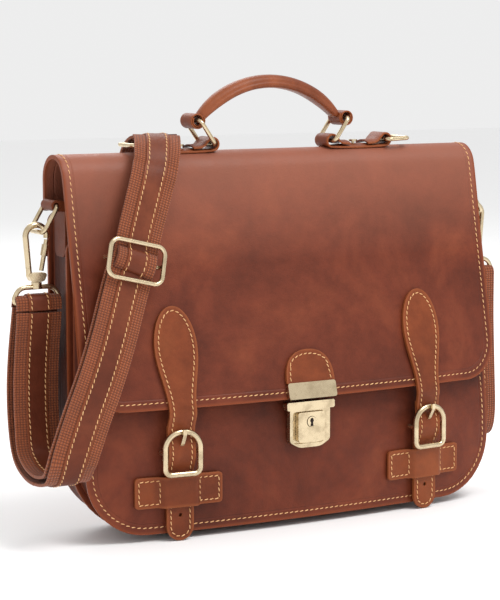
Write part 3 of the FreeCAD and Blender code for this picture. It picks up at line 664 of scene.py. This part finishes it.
STRAP_HALF, CLOSURE_PITCH = 11.5, 4.4
TAIL = catmull([(-7.9, BUCKLE_Z + 21.5), (-8.5, BUCKLE_Z + 12.5), (-10.9, BUCKLE_Z + 4.5),
                (-10.9, BUCKLE_Z - 3.5), (-7.7, BUCKLE_Z - 12), (-5.8, BUCKLE_Z - 17.5),
                (-5.75, 40.0), (-5.7, 28.0), (-5.7, 14.0)], 6)      # (y, z) of the tail's outer face
KEEPER_HALF, KEEPER_LOW, KEEPER_HIGH, KEEPER_CORNER = 37.5, 27.3, 52.3, 3.0
DROP_HALF, DROP_LOW, DROP_MID, DROP_CROWN = 18.4, 14, 62, 34
CLIMB = 0.968       # height gained per millimetre up the leaning flap


def tail_depth(z):
    order = np.argsort(TAIL[:, 1])
    return float(np.interp(z, TAIL[order, 1], TAIL[order, 0]))


def tail_half(z):
    """Half width of the tail, with its round end at the foot."""
    if z > STRAP_HALF:
        return STRAP_HALF
    return math.sqrt(max(STRAP_HALF ** 2 - (STRAP_HALF - z) ** 2, 0))


def keeper_depth(x):
    """The keeper lies on the panel at both ends and rises over the tail in the middle."""
    return -8.8 + 5.4 * eased(13.0, 19.5, abs(x))


def teardrop_half(h):
    """Half width of the flap strap, h up from its lower end."""
    if h < DROP_MID:
        return STRAP_HALF + (DROP_HALF - STRAP_HALF) * eased(DROP_LOW, DROP_MID, h)
    return DROP_HALF * math.sqrt(max(1 - ((h - DROP_MID) / DROP_CROWN) ** 2, 0))


def outline_grid(heights, half_fn, surface):
    shares = np.array([-1, -0.86, -0.7, -0.45, -0.2, 0, 0.2, 0.45, 0.7, 0.86, 1.0])
    points, edges = [], []
    for h in heights:
        w = half_fn(h)
        points.append([surface(share * w, h) for share in shares])
        edges.append([(1 - abs(share)) * w for share in shares])
    return np.array(points), np.array(edges)


def closure_tail(side, name):
    """The strap's lower half, sewn to the panel; returns its stitch line."""
    heights = [STRAP_HALF * (1 - math.cos(a)) for a in np.linspace(0.12, math.pi / 2, 9)]
    heights += list(np.arange(15.0, BUCKLE_Z + 21.6, 3.0))
    grid, edges = outline_grid(heights, tail_half, lambda x, z: (x, tail_depth(z), z))
    edges = np.minimum(edges, np.array(heights)[:, None])
    tail = sheet_piece(name + "_tail", place_closure(grid, side), 2.5, STRAP, edge=edges, bevel=0.7)
    outward = turned([0, -1.0, 0], side)
    punch(tail, place_closure((0.0, tail_depth(20.5), 20.5), side), outward, 1.6)
    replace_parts(tail, name + "_strap_tail")
    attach(tail, "shell")

    w = STRAP_HALF - 3.4
    left = [(-w, z) for z in np.arange(BUCKLE_Z + 20, STRAP_HALF, -2.0)]
    turn = [(-w * math.cos(a), STRAP_HALF - w * math.sin(a)) for a in np.linspace(0, math.pi, 14)]
    loop = left + turn + [(-x, z) for x, z in left[::-1]]
    path = place_closure([(x, tail_depth(z), z) for x, z in loop], side)
    return path, np.tile(outward, (len(path), 1))


def closure_keeper(side, name):
    """The cross band that holds the tail; returns the stitch lines of its two ends."""
    half_xs = [0, 6, 11, 13.5, 15, 16.5, 18, 19.5, 23, 28, 33, 36, 37.5]
    xs = np.array([-x for x in half_xs[:0:-1]] + half_xs)
    from_low = [0, 0.9, 2, 4, 9, 12.5]
    zs = [KEEPER_LOW + d for d in from_low] + [KEEPER_HIGH - d for d in (9, 4, 2, 0.9, 0)]
    end_x = 28
    grid = []
    for z in zs:
        into = max(KEEPER_CORNER - min(z - KEEPER_LOW, KEEPER_HIGH - z), 0)
        w = KEEPER_HALF - KEEPER_CORNER + math.sqrt(KEEPER_CORNER ** 2 - into ** 2)
        stretch = (w - end_x) / (KEEPER_HALF - end_x)
        row = [x if abs(x) < end_x else math.copysign(end_x + (abs(x) - end_x) * stretch, x) for x in xs]
        grid.append([(x, keeper_depth(x), z) for x in row])
    edges = np.array([[min(KEEPER_HALF - abs(x), z - KEEPER_LOW, KEEPER_HIGH - z) for x in xs] for z in zs])
    keeper = sheet_piece(name + "_keeper_skin", place_closure(np.array(grid), side), 2.5, STRAP, edge=edges,
                         bevel=0.7)
    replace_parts(keeper, name + "_keeper")
    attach(keeper, "shell")

    inset = 3.2
    low, high = KEEPER_LOW + inset, KEEPER_HIGH - inset
    lines = []
    for end in (-1, 1):
        near, far = end * 17.0, end * (KEEPER_HALF - inset)
        box = [(near, low), (far, low), (far, high), (near, high), (near, low)]
        path = []
        for (x0, z0), (x1, z1) in zip(box, box[1:]):
            path += [(x0 + (x1 - x0) * t, keeper_depth(x0 + (x1 - x0) * t), z0 + (z1 - z0) * t)
                     for t in np.linspace(0, 1, 12)[:-1]]
        path.append((near, keeper_depth(near), low))
        path = place_closure(path, side)
        lines.append((path, np.tile(turned([0, -1.0, 0], side), (len(path), 1))))
    return lines


def flap_strap(side, name):
    """The teardrop strap sewn to the flap, whose lower end goes under the buckle."""
    foot_z = FLAP_FOOT - 13

    def on_flap(x, h):
        z = foot_z + h * CLIMB
        on_skin = np.array([side * CLOSURE_X + x, flap_y(side * CLOSURE_X + x, z) - 3.3, z])
        t = eased(90.5, 106.0, z)
        return tuple(on_skin * t + place_closure((x, -9.1, z), side) * (1 - t))

    heights = [-7.7, -6, -4, -2, 0, 2, 4, 6.5] + list(np.arange(9.0, DROP_MID + 0.1, 4.0))
    heights += [DROP_MID + DROP_CROWN * math.sin(a) for a in np.linspace(0.1, math.pi / 2 - 0.06, 14)]
    grid, edges = outline_grid(heights, teardrop_half, on_flap)
    edges = np.minimum(edges, (DROP_MID + DROP_CROWN - np.array(heights))[:, None] * 1.1)
    strap = sheet_piece(name + "_strap_top", grid, 2.6, STRAP, edge=edges, bevel=0.7)
    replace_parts(strap, name + "_flap_strap")
    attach(strap, "flap")

    inset = 3.6
    left = [(-(teardrop_half(h) - inset), h) for h in np.arange(-6.0, DROP_MID, 1.5)]
    crown = [(-(DROP_HALF - inset) * math.cos(a), DROP_MID + (DROP_CROWN - 3.8) * math.sin(a))
             for a in np.linspace(0, math.pi, 30)]
    loop = left + crown + [(-x, h) for x, h in left[::-1]]
    points = np.array([on_flap(x, h) for x, h in loop])
    normals = on_surface([(p[0], p[2]) for p in points], flap_y)[1]
    threads = stitches(name + "_strap_top_stitches", [(points, normals)], pitch=CLOSURE_PITCH)
    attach(threads, "flap")


for side, name in SIDES:
    lines = [closure_tail(side, name)] + closure_keeper(side, name)
    threads = stitches(name + "_closure_stitches", lines, pitch=CLOSURE_PITCH)
    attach(threads, "shell")
    flap_strap(side, name)


# -------- lock tab

TAB_HALF, TAB_LONG, TAB_FOOT = 22.5, 27.0, 119.2


def tab_half(h):
    return TAB_HALF * math.sqrt(max(1 - (h / TAB_LONG) ** 2.6, 0)) ** 0.9


def on_tab(x, h):
    z = TAB_FOOT + h * CLIMB
    return x, flap_y(x, z) - 3.2, z


heights = [0, 2, 5, 9, 13, 17]
heights += [17 + 10 * math.sin(a) for a in np.linspace(0.15, math.pi / 2 - 0.05, 10)]
grid, edges = outline_grid(heights, tab_half, on_tab)
edges = np.minimum(edges, (TAB_LONG - np.array(heights))[:, None] * 1.2)
lock_tab = sheet_piece("lock_tab_skin", grid, 2.6, STRAP, edge=edges, bevel=0.7)
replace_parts(lock_tab, "lock_tab")
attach(lock_tab, "flap")
left = [(-(tab_half(h) - 3.6), h) for h in np.linspace(1, 15, 8)]
crown = [(-18.9 * math.cos(a) * 0.93, 13.5 + 9.8 * math.sin(a))
         for a in np.linspace(0.15, math.pi - 0.15, 22)]
points = np.array([on_tab(x, h) for x, h in left + crown + [(-x, h) for x, h in left[::-1]]])
normals = on_surface([(p[0], p[2]) for p in points], flap_y)[1]
threads = stitches("lock_tab_stitches", [(points, normals)], pitch=CLOSURE_PITCH)
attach(threads, "flap")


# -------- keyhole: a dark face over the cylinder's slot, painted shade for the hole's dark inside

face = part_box("lock_cylinder")
ring = [(1.75 * math.sin(a), 1.75 * math.cos(a)) for a in np.linspace(-2.6, 2.6, 22)]
outline = ring + [(1.45, -4.6), (-1.45, -4.6)]
face_y, face_z = min(corner[1] for corner in face), sum(corner[2] for corner in face) / len(face)
mesh = bpy.data.meshes.new("keyhole_dark")
mesh.from_pydata([(x * MM, face_y - 0.00006, face_z + (z + 0.9) * MM) for x, z in outline], [],
                 [tuple(range(len(outline)))[::-1]])
mesh.materials.append(KEYHOLE_SHADE)
keyhole = link("keyhole_dark", mesh)
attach(keyhole, "lock_barrel")


# -------- handle and top strips

def sweep(name, centres, ups, sections, material):
    """Tube with closed ends: each section is (across, up) points in the frame of its centre."""
    centres, ups = np.asarray(centres, float), np.asarray(ups, float)
    across = np.array([0.0, 1.0, 0.0])
    verts, faces = [], []
    n = len(sections[0])
    for c, u, section in zip(centres, ups, sections):
        for a, b in section:
            verts.append((c + across * a + u * b) * MM)
    for r in range(len(centres) - 1):
        for k in range(n):
            faces.append((r * n + k, r * n + (k + 1) % n, (r + 1) * n + (k + 1) % n, (r + 1) * n + k))
    faces.append(tuple(range(n))[::-1])
    faces.append(tuple((len(centres) - 1) * n + k for k in range(n)))
    mesh = bpy.data.meshes.new(name)
    mesh.from_pydata([tuple(v) for v in verts], [], faces)
    mesh.materials.append(material)
    for polygon in mesh.polygons:
        polygon.use_smooth = True
    return link(name, mesh)


GRIP_PEAK, GRIP_X, GRIP_Z = 360.6, 70.5, 330.0
ARC_R, SWEEP = 88.0, math.radians(48.5)
arc = np.array([(ARC_R * math.sin(a), GRIP_PEAK - ARC_R * (1 - math.cos(a)))
                for a in np.linspace(-SWEEP, SWEEP, 45)])
tangent = np.gradient(arc, axis=0)
tangent /= np.linalg.norm(tangent, axis=1)[:, None]
centres = [(x, FOLD_Y, z) for x, z in arc]
ups = [(-t[1], 0, t[0]) for t in tangent]


def grip_section(share):
    """D section: round top, sewn flange below; share is 0 at mid handle and 1 at its ends."""
    narrow = 1 - 0.22 * max(share - 0.55, 0) / 0.45
    flat = 1 - 0.42 * (max(share - 0.6, 0) / 0.4) ** 2
    half, top, lip, under = 7.3 * narrow, 5.7 * flat, 0.9 * flat, 5.2 * flat
    section = [(half * math.cos(a), -0.6 * flat + (top + 0.6 * flat) * math.sin(a) ** 0.85)
               for a in np.linspace(0, math.pi, 13)]
    section += [(-half - lip, -1.2 * flat), (-half - lip, -3.4 * flat), (-half * 0.9, -under),
                (0, -under - 0.3), (half * 0.9, -under), (half + lip, -3.4 * flat), (half + lip, -1.2 * flat)]
    return section


shares = [abs(i - (len(arc) - 1) / 2) / ((len(arc) - 1) / 2) for i in range(len(arc))]
grip = sweep("handle_leather", centres, ups, [grip_section(s) for s in shares], GRIP)
rounding = grip.modifiers.new("smooth", "SUBSURF")
rounding.levels = rounding.render_levels = 1
bake_modifiers(grip)
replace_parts(grip, "handle_grip")
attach(grip, "handle")

WRAP_HALF, WRAP_STEPS = 9.6, 60
for side, name in SIDES:
    # a leather tongue rolled about one and two thirds times round the ring's upper bar
    offsets = np.linspace(-WRAP_HALF, WRAP_HALF, 7)
    rows = []
    for i, a in enumerate(np.linspace(math.radians(35), math.radians(35 - 610), WRAP_STEPS)):
        r = 3.4 + 2.6 * i / (WRAP_STEPS - 1)
        rows.append([(side * (GRIP_X + 0.4 + r * math.cos(a)), FOLD_Y + o, GRIP_Z - 0.2 + r * math.sin(a))
                     for o in offsets])
    grid = np.array(rows)
    if side < 0:
        grid = grid[::-1]
    edges = np.tile(WRAP_HALF - np.abs(offsets), (len(grid), 1))
    wrap = sheet_piece(name + "_handle_wrap", grid, 1.2, STRAP, edge=edges, bevel=0.4)
    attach(wrap, "handle")


def strip_band(name, path, width):
    """Leather band running in X: path is (x, z, bend share); its edges droop over the fold by the share."""
    offsets = np.linspace(-width / 2, width / 2, 7)
    points, edges = [], []
    for x, z, share in path:
        drop = [0.9 * share * (FOLD_R - math.sqrt(FOLD_R ** 2 - o * o)) for o in offsets]
        points.append([(x, FOLD_Y + o, z - d) for o, d in zip(offsets, drop)])
        edges.append([width / 2 - abs(o) for o in offsets])
    return sheet_piece(name, np.array(points), 1.7, STRAP, edge=np.array(edges), bevel=0.5)


NEAR, FAR, LOOP_Z, LOOP_R = 57.0, 110.0, 310.7, 4.3


def loop_arc(x, start, stop):
    """The strip's turn round a ring's bar, from one angle to another in degrees."""
    return [(x + LOOP_R * math.cos(a), LOOP_Z + LOOP_R * math.sin(a), 0.0)
            for a in np.linspace(math.radians(start), math.radians(stop), 12)]


for side, name in SIDES:
    top, low = LOOP_Z - 1.4, LOOP_Z - 3.1
    path = [(NEAR + 18, top - 0.2, 0.95), (NEAR + 14, top - 0.1, 0.95), (NEAR + 10, top + 0.2, 0.85),
            (NEAR + 7, top + 1.2, 0.6), (NEAR + 4.6, top + 3.2, 0.3)]
    path += loop_arc(NEAR, 66, 270)
    path += [(NEAR + 6, low - 0.6, 0.5), (NEAR + 14, low, 0.9), (NEAR + 26, low, 1.0), (FAR - 14, low, 0.9),
             (FAR - 6, low - 0.6, 0.5)]
    path += loop_arc(FAR, -90, 114)
    path += [(FAR - 4.6, top + 3.2, 0.3), (FAR - 7, top + 1.2, 0.6), (FAR - 10, top + 0.2, 0.85),
             (FAR - 14, top - 0.1, 0.95), (FAR - 18, top - 0.2, 0.95)]
    path = [(side * x, z, share) for x, z, share in path]
    if side > 0:
        path = path[::-1]
    strip = strip_band(name + "_strip_leather", path, 20.0)
    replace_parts(strip, name + "_top_strip")
    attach(strip, "shell")


# -------- shoulder strap

X_AXIS, TILT, SLIGHT = (1, 0, 0), (0.97, 0, -0.25), (0.99, 0, -0.1)
OVER_R = 32.5       # radius of the strap's middle where it passes over the fold


def over(angle):
    """Station over the fold, at an angle in degrees up from the back."""
    a = math.radians(angle)
    x = np.interp(angle, [90, 115, 140, 162], [-104, -110, -116, -120.4])
    return (x, FOLD_Y + OVER_R * math.cos(a), FOLD_Z + OVER_R * math.sin(a), *X_AXIS)


def stations(*rows):
    """Rows of (x, y, z, direction across the strap) as flat tuples."""
    return [(x, y, z, *across) for x, y, z, across in rows]


RUN = [over(a) for a in (90, 102, 115, 128, 140, 151, 162)] + stations(
    (-126.3, -20, 283, SLIGHT), (-141.4, -28.5, 245.8, TILT), (-149.1, -33, 223, TILT),
    (-158.4, -37.2, 200.5, TILT), (-172.2, -43.5, 164.5, TILT), (-185.2, -48.5, 135, TILT),
    (-199.6, -53, 105.7, TILT), (-211, -55.5, 79, SLIGHT), (-214, -53, 67, X_AXIS))
BEND = stations(
    (-214, -53, 67, X_AXIS), (-214, -44, 57, X_AXIS), (-214, -24, 53.5, X_AXIS), (-214, -4, 56, X_AXIS),
    (-214, 14, 66, X_AXIS), (-213, 25, 86, X_AXIS), (-212, 30, 118, X_AXIS), (-211, 28, 150, X_AXIS),
    (-210, 21.5, 184, X_AXIS))
OVER_BAR = stations((-210, 21.6, 190, X_AXIS), (-210, 20.3, 193.3, X_AXIS), (-210, 17, 194.8, X_AXIS),
                    (-210, 13.7, 193.3, X_AXIS), (-210, 12.4, 190, X_AXIS), (-210, 12.4, 184, X_AXIS))
BACK = [over(a) for a in (90, 75, 60, 45, 30, 15)] + stations(
    (-100, 46, 276, (0.9, 0, 0.4)), (-50, 45, 228, (0.7, 0, 0.7)), (30, 45, 161, (0.65, 0, 0.75)),
    (120, 47, 101, (0.65, 0, 0.75)), (180, 52, 66, (0.85, 0, 0.5)), (206, 53, 54, (0.97, 0, 0.2)),
    (213, 44, 46, X_AXIS), (214, 30, 42, X_AXIS), (214, 18, 47, X_AXIS), (213, 12, 66, X_AXIS),
    (211, 11, 105, X_AXIS), (210, 12, 150, X_AXIS), (210, 12.4, 184, X_AXIS), (210, 12.4, 190, X_AXIS),
    (210, 13.7, 193.3, X_AXIS), (210, 17, 194.8, X_AXIS), (210, 20.3, 193.3, X_AXIS),
    (210, 21.6, 190, X_AXIS), (210, 21.4, 178, X_AXIS), (210, 16.5, 160, X_AXIS), (210, 15.6, 140, X_AXIS))


PER = 6             # points made from each station of a strap


def band_frames(rows):
    """Smoothed centres, across directions and outward normals of a band."""
    path = catmull(rows, PER)
    centre, across = path[:, :3], path[:, 3:]
    along = np.gradient(centre, axis=0)
    along /= np.linalg.norm(along, axis=1)[:, None]
    across = across - along * (across * along).sum(1)[:, None]
    across /= np.linalg.norm(across, axis=1)[:, None]
    return centre, across, np.cross(along, across)


def band(name, frames, width, thickness, material, lift=0.0, outward=1, bevel=0.6):
    """Flat band whose outer face lies lift above the middle of the strap."""
    centre, across, up = frames
    up = up * outward
    offsets = np.array([-0.5, -0.46, -0.38, -0.2, 0, 0.2, 0.38, 0.46, 0.5]) * width
    lengths = lengths_along(centre)
    points = np.array([[c + a * o + u * lift for o in offsets] for c, a, u in zip(centre, across, up)])
    edges = np.tile(width / 2 - np.abs(offsets), (len(centre), 1))
    extra = {"along_mm": np.tile(lengths[:, None], (1, len(offsets))),
             "across_mm": np.tile(offsets, (len(centre), 1))}
    if outward > 0:
        points = points[:, ::-1]
        extra = {k: v[:, ::-1] for k, v in extra.items()}
    return sheet_piece(name, points, thickness, material, edge=edges, extra=extra, bevel=bevel)


def stripe_lines(frames, half, lift, outward):
    """Two stitch lines along a strap, half the distance apart on each side of its middle."""
    centre, across, up = frames
    return [(centre + across * s + up * outward * lift, up * outward) for s in (-half, half)]


WEB_T, STRIPE_W = 2.4, 18.5


def dressed(name, frames, outward=1, width=38.0):
    """Webbing with its leather stripe and two rows of stitching."""
    lift = WEB_T / 2 + 1.1
    web = band(name + "_webbing", frames, width, WEB_T, WEB, WEB_T / 2, outward)
    stripe = band(name + "_stripe", frames, STRIPE_W, 1.0, STRIPE, lift, outward, 0.35)
    lines = stripe_lines(frames, STRIPE_W / 2 - 2.2, lift, outward)
    threads = stitches(name + "_stitches", lines, pitch=CLOSURE_PITCH)
    return [web, stripe, threads]


whole = band_frames(RUN + BEND[1:] + OVER_BAR)
SPLIT = (len(RUN) + 1) * PER
run_pieces = dressed("strap_run", [part[:SPLIT + 1] for part in whole])
bend_pieces = dressed("strap_bend", [part[SPLIT:] for part in whole])
back_pieces = dressed("strap_rear", band_frames(BACK), outward=-1)

centre, across, up = whole
stop = (len(RUN) + len(BEND) - 2) * PER + 1
places = np.arange(len(centre)) / PER - (len(RUN) - 1)
gaps = np.interp(places, range(9), [6.2, 6.2, 6.2, 7.5, 10, 13, 13.5, 12, 9.2])[:, None]
inner = (centre - up * gaps, across, up)
from_slider = 9 * PER + 2
inner_run_pieces = dressed("strap_inner_run", [part[from_slider:SPLIT + 1] for part in inner], outward=-1)
inner_bend_pieces = dressed("strap_inner_bend", [part[SPLIT:stop] for part in inner], outward=-1)

# the strap's end folded over the slider's bar, showing inside the frame
seat = int(np.argmin(np.linalg.norm(whole[0] - np.array([-149.1, -33, 223]), axis=1)))
travel = lengths_along(whole[0])
FOLD_REACH, FOLD_HIGH = 9.6, 4.6
at = np.linspace(travel[seat] - FOLD_REACH, travel[seat] + FOLD_REACH, 25)
around_bar = [np.stack([np.interp(at, travel, part[:, i]) for i in range(3)], 1) for part in whole]
hump = FOLD_HIGH * np.sqrt(np.clip(1 - ((at - travel[seat]) / FOLD_REACH) ** 2, 0, 1))[:, None]
folded = (around_bar[0] + around_bar[2] * hump, around_bar[1], around_bar[2])
fold_pieces = dressed("strap_slider_fold", folded, width=35.0)
for piece in fold_pieces:
    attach(piece, "flap")

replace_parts(run_pieces[0], "strap_front")
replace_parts(run_pieces[1], "strap_front_stripe")
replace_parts(back_pieces[0], "strap_back", "right_strap_loop")
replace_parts(back_pieces[1], "strap_back_stripe")
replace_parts(bend_pieces[0], "left_strap_loop")
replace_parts(inner_run_pieces[0], "strap_inner_layer")
for piece in run_pieces:
    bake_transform(piece)
for piece in inner_run_pieces:
    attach(piece, "flap")
for piece in bend_pieces + inner_bend_pieces:
    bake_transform(piece)
for piece in back_pieces:
    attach(piece, "shell")


# -------- carried-over CAD pieces

METAL_WORDS = ("buckle_frame", "prong", "rivet", "ring", "hook", "gate", "lock_", "slider")
METAL_NODES = [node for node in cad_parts
               if node != "lock_tab" and any(word in node for word in METAL_WORDS)]
for node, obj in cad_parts.items():
    if obj.hide_render:
        continue
    chosen = BRASS if node in METAL_NODES else PLAIN
    obj.data.materials.clear()
    obj.data.materials.append(chosen)
    for polygon in obj.data.polygons:
        polygon.use_smooth = False
        polygon.material_index = 0


# -------- floor, light and camera

bpy.ops.mesh.primitive_plane_add(size=12, location=(0, 0, -0.0005))
floor = bpy.context.object
floor.name = "floor"
paper, nodes, links, shader = new_material("paper")
shader.inputs["Base Color"].default_value = (0.95, 0.95, 0.95, 1)
shader.inputs["Roughness"].default_value = 0.9
floor.data.materials.append(paper)

world = bpy.data.worlds.new("studio")
bpy.context.scene.world = world
bpy.context.scene.view_settings.view_transform = "Standard"
world.use_nodes = True
world.node_tree.nodes["Background"].inputs["Color"].default_value = (1, 1, 1, 1)
world.node_tree.nodes["Background"].inputs["Strength"].default_value = 0.85


def area_light(name, place, target, size, power):
    data = bpy.data.lights.new(name, "AREA")
    data.size = size
    data.energy = power
    light = bpy.data.objects.new(name, data)
    light.location = place
    light.rotation_euler = (Vector(target) - Vector(place)).to_track_quat("-Z", "Y").to_euler()
    bpy.context.scene.collection.objects.link(light)


area_light("key", (0.5, -1.1, 2.1), (0, 0, 0.2), 1.1, 34)
area_light("fill", (-1.9, -1.2, 0.9), (0, 0, 0.15), 1.4, 2)
area_light("rim", (0.3, 1.6, 1.6), (0, 0, 0.25), 1.2, 14)

AZIMUTH, ELEVATION = math.radians(30.26), math.radians(7.88)
DISTANCE, FOCAL_PX = 1.77495, 2131.84
SHIFT_X, SHIFT_Y = 27.8, 29.6
back = Vector((-math.sin(AZIMUTH) * math.cos(ELEVATION), -math.cos(AZIMUTH) * math.cos(ELEVATION),
               math.sin(ELEVATION)))
camera_data = bpy.data.cameras.new("camera")
camera = bpy.data.objects.new("camera", camera_data)
bpy.context.scene.collection.objects.link(camera)
camera.location = Vector((0, 0, 0.1555)) + back * DISTANCE
camera.rotation_euler = (-back).to_track_quat("-Z", "Y").to_euler()
camera_data.sensor_width = 36
camera_data.lens = FOCAL_PX * 36 / 600
camera_data.shift_x = -SHIFT_X / 600
camera_data.shift_y = SHIFT_Y / 600
bpy.context.scene.camera = camera
